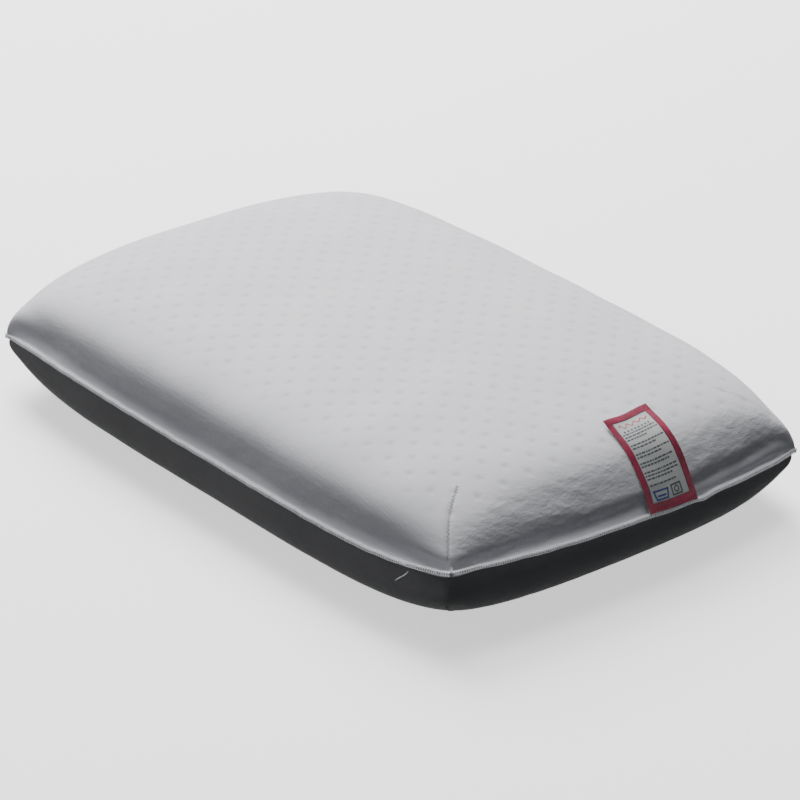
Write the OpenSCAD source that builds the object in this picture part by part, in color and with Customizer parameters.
// Bed pillow: a moulded latex core in a fitted knit cover. The cover is two panels joined by an
// overlocked seam at mid height, with a care label sewn into one short side and a coil zip in the
// back long side.
// The origin is the middle of the flat rest face. +X runs along the pillow and +Z up.

/* [Pillow] */
// Length over the seam
pillow_l = 610; // [560:1:700]
// Width over the seam
pillow_w = 406; // [370:1:460]
// Height of the crown above the rest face
loft = 127; // [115:1:140]
// Height of the seam above the rest face
seam_z = 58; // [52:1:64]
// How far the middle of the top stands above its corners
crown = 15; // [5:1:20]
// How far the long sides bow out past their corners
side_bow = 13; // [4:1:18]
// How far the short sides bow out past their corners
end_bow = 19; // [8:1:24]
// How far the seam's corners ride up or down
seam_twist = 8; // [0:1:10]

/* [Cover] */
// Thickness of the knit
cover_t = 1; // [0.8:0.1:1.4]
// Width of the overlocked seam allowance
flange_w = 4.5; // [3.5:0.5:5]
// Height above the seam where the cover leaves the core
flare_h = 14; // [12:1:18]
// Extra height of that flare at the corners, where the fabric spans out to the seam
corner_tent = 20; // [0:1:24]
// Thickness of the overlock thread around the allowance
thread_t = 0.5; // [0.3:0.1:0.8]

/* [Core] */
// Clearance between the core and its cover
core_gap = 0.4; // [0.3:0.1:1]
// How far the core draws in behind the seam and the zip
waist = 6.5; // [6:0.5:8]

/* [Label] */
// Width of the care label along the seam
label_w = 50; // [35:1:60]
// Distance of its middle from the pillow's centre line
label_y = 36; // [-60:1:60]
// How far its free end reaches in from the seam, in plan
label_reach = 62; // [50:1:80]
// Thickness of the label
label_t = 0.8; // [0.6:0.1:1]
// Width of its woven border
border_w = 5.6; // [4:0.5:9]

/* [Zip] */
// Length of the opening that the zip closes
zip_l = 360; // [300:10:370]
// Width of one row of coil
coil_w = 1.6; // [1.4:0.1:1.7]
// Depth of the coil
coil_t = 2.1; // [1.8:0.1:2.1]
// Width of one tape from the middle of the zip
tape_w = 12; // [11:0.5:12.5]
// Length of the slider
slider_l = 9; // [8:0.5:11]
// Length of the pull tab from its pivot
pull_l = 22; // [16:1:23]

/* [Hidden] */

half_l = pillow_l / 2;
half_w = pillow_w / 2;

// The core's plan outlines are |x/a|^m + |y/b|^n = 1, written [inset from the seam, m, n].
top_plan = [8.3, 6, 8];
base_plan = [1.5, 7, 8];
// Domes are (z/h)^q + ((r - flat) / (1 - flat))^p = 1, written [h, q, p, flat], with r in parts of the plan.
top_dome = [loft - seam_z, 2.93, 4.05, 0];
base_dome = [seam_z, 3.68, 1.9, 0.45];

side_pts = 16;                    // points along each side of a ring
ring_pts = 4 * side_pts;
corner_at = 0.9;                  // where a dome ring's corner falls, in parts of its half width
side_curve = 4;                   // powers of the bows' curves along the long and the short sides
end_curve = 2.5;
dome_rows = 10;
flare_rows = 3;
top_flare_power = 1.5;            // how concave the top's flare is along the sides
base_flare_power = 0.85;          // and the base's, which bulges a little
corner_power = 0.8;               // the same for both at the corners
base_flare_h = 10;                // depth of the lower panel's tuck under the seam
waist_h = 24;                     // height over which the core's waist fades out
corner_waist = 6;                 // how much further the core draws in at the corners
panel_gap = 0.2;                  // between the two panels' allowances

// ---- Outlines and surfaces ----

function flip(a, b) = a < b ? -1 : 1;
function mix(a, b, w) = a * (1 - w) + b * w;

// How far point i is along its side of a ring, from -1 to 1. The points crowd towards the corners.
function along_side(i) =
    let (v = 2 * (i % side_pts) / side_pts - 1) flip(v, 0) * (1 - pow(1 - abs(v), 1.4));

// Point i of the seam's outline, moved in by inset: four bowed sides that meet at pointed corners.
function seam_xy(i, inset) =
    let (a = half_l - inset, b = half_w - inset, side = floor(i / side_pts), u = along_side(i),
         turn = side > 1 ? -1 : 1)
    turn * (side % 2 == 0
        ? [u * (a - end_bow), side_bow * pow(abs(u), side_curve) - b]
        : [a - end_bow * pow(abs(u), end_curve), u * (b - side_bow)]);

// Point i of one of the core's outlines, grown by g.
function plan_xy(i, plan, g) =
    let (a = half_l - plan[0] + g, b = half_w - plan[0] + g, side = floor(i / side_pts), u = along_side(i),
         turn = side > 1 ? -1 : 1, corner_x = a * pow(1 - pow(corner_at, plan[2]), 1 / plan[1]))
    turn * (side % 2 == 0
        ? [u * corner_x, -b * pow(1 - pow(abs(u * corner_x / a), plan[1]), 1 / plan[2])]
        : [a * pow(1 - pow(abs(u * corner_at), plan[2]), 1 / plan[1]), u * corner_at * b]);

// Height of the seam, which twists up at two opposite corners and down at the other two.
function seam_height(p) =
    seam_z - flip(p.x * p.y, 0) * seam_twist * pow(abs(p.x) / (half_l - end_bow), 8)
        * pow(abs(p.y) / (half_w - side_bow), 2);

// How far the seam drops below its usual height at point i.
function seam_dip(i) = max(seam_z - seam_height(seam_xy(i, 0)), 0);

// How far point i of a ring is into a corner, from 0 to 1.
function cornerness(i) =
    let (p = seam_xy(i, 0)) pow(abs(p.x * p.y) / ((half_l - end_bow) * (half_w - side_bow)), 4);

// Point i of a dome at the profile angle phi, 90 at the middle. up is 1 on top and -1 below.
function dome_point(i, phi, g, up) =
    let (plan = up > 0 ? top_plan : base_plan, dome = up > 0 ? top_dome : base_dome,
         r = dome[3] + (1 - dome[3]) * pow(cos(phi), 2 / dome[2]),
         p = r * plan_xy(i, plan, g),
         sag = up > 0 ? crown / 2 * (pow(p.x / half_l, 2) + pow(p.y / half_w, 2)) * (1 - pow(r, 8)) : 0)
    [p.x, p.y, seam_z + up * ((dome[0] + g) * pow(sin(phi), 2 / dome[1]) - sag)];

// Profile angle where the cover leaves the dome and flares out to the seam.
function flare_angle(i, up) =
    let (dome = up > 0 ? top_dome : base_dome,
         h = up > 0 ? flare_h + corner_tent * cornerness(i) : base_flare_h + seam_dip(i))
    asin(pow(h / dome[0], dome[1] / 2));

function dome_ring(j, g, up) =
    [for (i = [0 : ring_pts - 1])
        let (low = flare_angle(i, up), s = pow(j / dome_rows, 1.2))
        dome_point(i, mix(90, low, s), g, up)];

// A point w of the way down the flare, from the dome to the inner edge of the allowance, whose face is
// z_off from the seam.
function flare_point(i, w, g, up, z_off) =
    let (p = seam_xy(i, flange_w - g), d = dome_point(i, flare_angle(i, up), g, up),
         rim_z = seam_height(p) + up * z_off,
         power = mix(up > 0 ? top_flare_power : base_flare_power, corner_power, cornerness(i)))
    [mix(d.x, p.x, w), mix(d.y, p.y, w), rim_z + (d.z - rim_z) * pow(1 - w, power)];

function flare_ring(j, g, up, z_off) =
    [for (i = [0 : ring_pts - 1])
        flare_point(i, j / flare_rows, g, up, z_off)];

function seam_ring(inset, z_off) =
    [for (i = [0 : ring_pts - 1])
        let (p = seam_xy(i, inset)) [p.x, p.y, seam_height(p) + z_off]];

// Rings of one panel's face from its middle out to the allowance.
function panel_rings(g, up, z_off) =
    [for (j = [1 : dome_rows]) dome_ring(j, g, up),
     for (j = [1 : flare_rows]) flare_ring(j, g, up, z_off)];

function reversed(v) = [for (k = [len(v) - 1 : -1 : 0]) v[k]];

// ---- Solids made of rings ----

function band_faces(rings, wrap) =
    [for (j = [0 : rings - (wrap ? 1 : 2)]) for (i = [0 : ring_pts - 1])
        let (k = (i + 1) % ring_pts, a = j * ring_pts, b = ((j + 1) % rings) * ring_pts)
        each [[a + i, b + k, b + i], [a + i, a + k, b + k]]];

// A closed solid through a list of rings, shut at both ends by a fan to a middle point.
module ring_solid(rings, first_z, last_z) {
    last = len(rings) * ring_pts;
    caps = [for (i = [0 : ring_pts - 1])
        let (k = (i + 1) % ring_pts)
        each [[last, k, i], [last + 1, last - ring_pts + i, last - ring_pts + k]]];
    points = [for (ring = rings) each ring, [0, 0, first_z], [0, 0, last_z]];
    polyhedron(points, concat(band_faces(len(rings), false), caps));
}

// A ring-shaped solid around the seam, from the [inset, height] points of its cross-section.
module seam_band(section) {
    rings = [for (s = section) seam_ring(s[0], s[1])];
    polyhedron([for (ring = rings) each ring], band_faces(len(rings), true));
}

// ---- Core ----

// Point i of the core at the profile angle phi. The core is its dome, drawn in towards the waist.
function core_point(i, phi, up) =
    let (g = -cover_t - core_gap, d = dome_point(i, phi, g, up), h = abs(d.z - seam_z),
         fade = max(1 - pow(h / (waist_h + corner_tent * cornerness(i)), 2), 0),
         draw_in = fade * (waist + corner_waist * cornerness(i)), dome = up > 0 ? top_dome : base_dome,
         r = dome[3] + (1 - dome[3]) * pow(cos(phi), 2 / dome[2]),
         p = r * plan_xy(i, up > 0 ? top_plan : base_plan, g - draw_in))
    [p.x, p.y, d.z];

function core_rings(up) =
    [for (j = [up > 0 ? 1 : 0 : dome_rows])
        [for (i = [0 : ring_pts - 1])
            core_point(i, mix(90, flare_angle(i, up), pow(j / dome_rows, 1.2)), up)],
     for (j = [1 : flare_rows - 1])
        [for (i = [0 : ring_pts - 1]) core_point(i, flare_angle(i, up) * (1 - j / flare_rows), up)]];

module core_body() {
    ring_solid(concat(core_rings(1), reversed(core_rings(-1))), loft - cover_t - core_gap, cover_t + core_gap);
}

module latex_core() {
    color("ivory") core_body();
}

// ---- Cover panels and their seam ----

lip_z = panel_gap / 2;            // inner face of each panel's allowance, from the seam
lip_top = lip_z + cover_t;
thread_gap = 0.2;                 // between the thread and the panels
lip_inset = thread_t + thread_gap;

thread_top = lip_top + thread_gap + thread_t;

module panel(up) {
    outer = concat(panel_rings(0, up, lip_top), [seam_ring(lip_inset, up * lip_top)]);
    inner = concat([seam_ring(lip_inset, up * lip_z)], reversed(panel_rings(-cover_t, up, lip_z)));
    if (up > 0) {
        ring_solid(concat(outer, inner), loft, loft - cover_t);
    } else {
        base_outer = concat([dome_ring(0, 0, -1)], outer);
        base_inner = concat(inner, [dome_ring(0, -cover_t, -1)]);
        ring_solid(reversed(concat(base_outer, base_inner)), cover_t, 0);
    }
}

// The opening for the zip, cut through the back edge of both panels and the thread.
zip_open_h = 5.4;
zip_open_depth = 20;

module zip_opening() {
    translate([-zip_l / 2, half_w - zip_open_depth, seam_z - zip_open_h])
        cube([zip_l, 2 * zip_open_depth, 2 * zip_open_h]);
}

module cover_top_panel() {
    color("white") difference() {
        panel(1);
        zip_opening();
    }
}

module cover_bottom_panel() {
    color("dimgray") difference() {
        panel(-1);
        zip_opening();
    }
}

module seam_overlock_thread() {
    thread_in = flange_w - 0.6;
    thread_low = lip_top + thread_gap;
    color("whitesmoke") difference() {
        seam_band([[thread_in, thread_top], [0, thread_top], [0, -thread_top], [thread_in, -thread_top],
                   [thread_in, -thread_low], [thread_t, -thread_low], [thread_t, thread_low],
                   [thread_in, thread_low]]);
        zip_opening();
    }
}

// ---- Darts over the corners ----

dart_rungs = 11;
dart_start = 62;                  // profile angle of the dart's upper end
dart_on_dome = 0.45;              // share of the dart that lies on the dome, before the flare
dart_flare_end = 0.6;             // how far down the flare it runs
rung = [5, 0.9, 0.6];

function dart_point(i, t, up) =
    t < dart_on_dome
        ? dome_point(i, mix(dart_start, flare_angle(i, up), t / dart_on_dome), 0, up)
        : flare_point(i, dart_flare_end * (t - dart_on_dome) / (1 - dart_on_dome), 0, up, lip_top);

module dart(i, up) {
    for (n = [0 : dart_rungs - 1]) {
        t = n / (dart_rungs - 1);
        p = dart_point(i, t, up);
        run = dart_point(i, t + 0.02, up) - dart_point(i, t - 0.02, up);
        along = run / norm(run);
        across = cross([0, 0, 1], along) / norm(cross([0, 0, 1], along));
        out = cross(along, across);
        multmatrix([[across.x, along.x, out.x, p.x],
                    [across.y, along.y, out.y, p.y],
                    [across.z, along.z, out.z, p.z]])
            cube(rung, center = true);
    }
}

module top_dart_stitching() {
    color("gainsboro") for (k = [0 : 3]) dart(k * side_pts, 1);
}

module bottom_dart_stitching() {
    color("gray") for (k = [0 : 3]) dart(k * side_pts, -1);
}

// ---- Care label ----
// It starts at the seam's outer edge, lies over the allowance and follows the side up over the shoulder.

label_gap = 0.35;
label_edge_z = seam_z + thread_top;
label_rows = 16;
label_near_y = max(abs(label_y) - label_w / 2, 0);
top_a = half_l - top_plan[0];
border_t = 0.25;
hem_h = 9;                        // height of the border's lower band

function label_end_angle() = acos(pow((half_l - label_reach) / top_a, top_dome[2] / 2));

function label_base() =
    let (low = asin(pow(flare_h / top_dome[0], top_dome[1] / 2)), rim_z = seam_z + lip_top)
    [[half_l, label_edge_z], [half_l - flange_w - label_gap / 2, label_edge_z],
     for (j = [flare_rows - 1 : -1 : 1])
        let (w = j / flare_rows)
        [mix(top_a, half_l - flange_w, w), rim_z + (seam_z + flare_h - rim_z) * pow(1 - w, top_flare_power)],
     for (k = [0 : label_rows])
        let (phi = mix(low, label_end_angle(), k / label_rows), r = pow(cos(phi), 2 / top_dome[2]),
             x = r * top_a, spread = pow(x / half_l, 2) + pow(label_near_y / half_w, 2))
        [x, seam_z + top_dome[0] * pow(sin(phi), 2 / top_dome[1]) - crown / 2 * spread * (1 - pow(r, 8))]];

// The same line moved out by a distance, square to itself.
function label_line(off) =
    let (line = label_base(), last = len(line) - 1)
    [for (k = [0 : last])
        let (run = line[min(k + 1, last)] - line[max(k - 1, 0)], unit = run / norm(run))
        line[k] + off * [unit.y, -unit.x]];

module label_sheet(from, to, width) {
    translate([0, label_y + width / 2, 0]) rotate([90, 0, 0])
        linear_extrude(width) polygon(concat(label_line(from), reversed(label_line(to))));
}

module care_label() {
    color("whitesmoke") label_sheet(label_gap, label_gap + label_t, label_w);
}

module care_label_border() {
    face = label_gap + label_t;
    color("crimson") difference() {
        label_sheet(face, face + border_t, label_w);
        translate([half_l - label_reach + border_w, label_y - label_w / 2 + border_w, seam_z + hem_h])
            cube([label_reach, label_w - 2 * border_w, loft]);
    }
}

label_stitches = 14;

module care_label_stitching() {
    pitch = label_w / label_stitches;
    face_z = label_edge_z + label_gap + label_t + border_t;
    color("white") for (k = [0 : label_stitches - 1])
        translate([half_l - flange_w / 2, label_y - label_w / 2 + (k + 0.5) * pitch, face_z])
            cube([0.6, 0.7 * pitch, 0.5], center = true);
}

// ---- Zip ----
// Sections are drawn as [distance out from the seam's edge, height from the seam].

tape_t = 0.5;
tape_face = -4.7;                 // front face of the tapes where the slider runs
coil_face = tape_face + coil_t;
coil_in = 0.35;                   // from the middle of the zip to each row of coil
tape_in = 0.5;
tape_bend = 3.3;                  // height where a tape bends in behind the cover
upper_back = -10.2;               // front face of the upper tape just inside the cover
upper_end = -12.8;                // and at its far edge
lower_back = -6.6;                // front face of the lower tape inside the cover
chain_l = zip_l - 12;
stop_l = 3.5;

module along_zip(length) {
    translate([-length / 2, half_w, seam_z]) rotate([90, 0, 90]) linear_extrude(length) children();
}

// One tape, flat behind the coil and then bent in to the faces back and end.
module tape(side, back, end) {
    front = [[tape_face, tape_in], [tape_face, tape_bend], [back, zip_open_h], [end, tape_w]];
    outline = concat(front, [for (p = reversed(front)) p - [tape_t, 0]]);
    color("lightgray") along_zip(zip_l - 2) polygon([for (p = outline) [p.x, side * p.y]]);
}

module zip_tape_upper() {
    tape(1, upper_back, upper_end);
}

module zip_tape_lower() {
    tape(-1, lower_back, lower_back);
}

module coil_row(side) {
    low = side > 0 ? coil_in : -coil_in - coil_w;
    along_zip(chain_l) translate([tape_face, low]) square([coil_t, coil_w]);
}

module zip_coil_upper() {
    color("silver") coil_row(1);
}

module zip_coil_lower() {
    color("silver") coil_row(-1);
}

stop_depth = coil_t + 2 * tape_t;

module stop_block(x, low, high) {
    translate([x, half_w + tape_face - 2 * tape_t, seam_z + low]) cube([stop_l, stop_depth, high - low]);
}

module zip_top_stop() {
    color("darkgray") {
        stop_block(-chain_l / 2 - stop_l, tape_in - 0.3, coil_in + coil_w + 0.4);
        stop_block(-chain_l / 2 - stop_l, -coil_in - coil_w - 0.4, 0.3 - tape_in);
    }
}

module zip_bottom_stop() {
    color("darkgray") stop_block(chain_l / 2, -coil_in - coil_w - 0.4, coil_in + coil_w + 0.4);
}

// Distance of a panel's face inside the seam's edge, where it flares at height h.
function flare_inset(h, up) =
    let (top = up > 0 ? flare_h : base_flare_h, foot = up > 0 ? top_plan[0] : base_plan[0],
         power = up > 0 ? top_flare_power : base_flare_power,
         rise = pow((h - lip_top) / (top - lip_top), 1 / power))
    mix(flange_w, foot, rise);

zip_stitch_pitch = 5;
zip_stitch = [3.2, 0.8, 0.6];
zip_stitch_h = 7;

module zip_stitching() {
    count = floor((zip_l - 10) / zip_stitch_pitch);
    color("gainsboro") for (up = [1, -1]) for (k = [0 : count - 1])
        translate([(k - (count - 1) / 2) * zip_stitch_pitch, half_w - flare_inset(zip_stitch_h, up),
                   seam_z + up * zip_stitch_h])
            cube(zip_stitch, center = true);
}

// ---- Slider and pull ----

slider_half_h = 3;
plate_t = 0.9;
plate_gap = 0.3;
slider_x = -chain_l / 2 + slider_l / 2 + 0.5;
front_plate = coil_face + plate_gap;
back_plate = tape_face - tape_t - plate_gap - plate_t;
arch_half_h = 0.8;
arch_t = 0.9;
arch_l = 6.4;
arch_rise = 3.1;
pivot_out = front_plate + plate_t + 1.1;  // pivot's distance out from the seam's edge
pivot_r = 0.5;
pull_half_h = 2.5;
pull_t = 1;

// Rests at the closed end. Its rib runs between the two rows of coil.
module zip_slider() {
    color("silver") translate([slider_x, half_w, seam_z]) {
        for (d = [front_plate, back_plate])
            translate([-slider_l / 2, d, -slider_half_h]) cube([slider_l, plate_t, 2 * slider_half_h]);
        translate([-1.5, back_plate, -0.2]) cube([3, front_plate + plate_t - back_plate, 0.4]);
        difference() {
            translate([-arch_l / 2, front_plate, -arch_half_h]) cube([arch_l, arch_rise + plate_t, 2 * arch_half_h]);
            translate([-arch_l / 2 + arch_t, front_plate + plate_t, -slider_half_h])
                cube([arch_l - 2 * arch_t, arch_rise - arch_t, 2 * slider_half_h]);
        }
    }
}

module zip_pull_tab() {
    window_l = 5.5;
    arm_in = arch_half_h + 0.4;
    hole_d = 2.4;
    color("silver") translate([slider_x, half_w + pivot_out, seam_z]) {
        translate([0, 0, -pull_half_h]) cylinder(r = pivot_r, h = 2 * pull_half_h, $fn = 32);
        for (side = [-1, 1])
            translate([0, -pull_t / 2, side > 0 ? arm_in : -pull_half_h])
                cube([window_l, pull_t, pull_half_h - arm_in]);
        difference() {
            union() {
                translate([window_l, -pull_t / 2, -pull_half_h])
                    cube([pull_l - window_l - pull_half_h, pull_t, 2 * pull_half_h]);
                translate([pull_l - pull_half_h, pull_t / 2, 0]) rotate([90, 0, 0])
                    cylinder(r = pull_half_h, h = pull_t, $fn = 48);
            }
            translate([pull_l - pull_half_h, pull_t, 0]) rotate([90, 0, 0])
                cylinder(d = hole_d, h = 2 * pull_t, $fn = 32);
        }
    }
}

latex_core();
cover_top_panel();
cover_bottom_panel();
seam_overlock_thread();
top_dart_stitching();
bottom_dart_stitching();
care_label();
care_label_border();
care_label_stitching();
zip_tape_upper();
zip_tape_lower();
zip_coil_upper();
zip_coil_lower();
zip_top_stop();
zip_bottom_stop();
zip_stitching();
zip_slider();
zip_pull_tab();
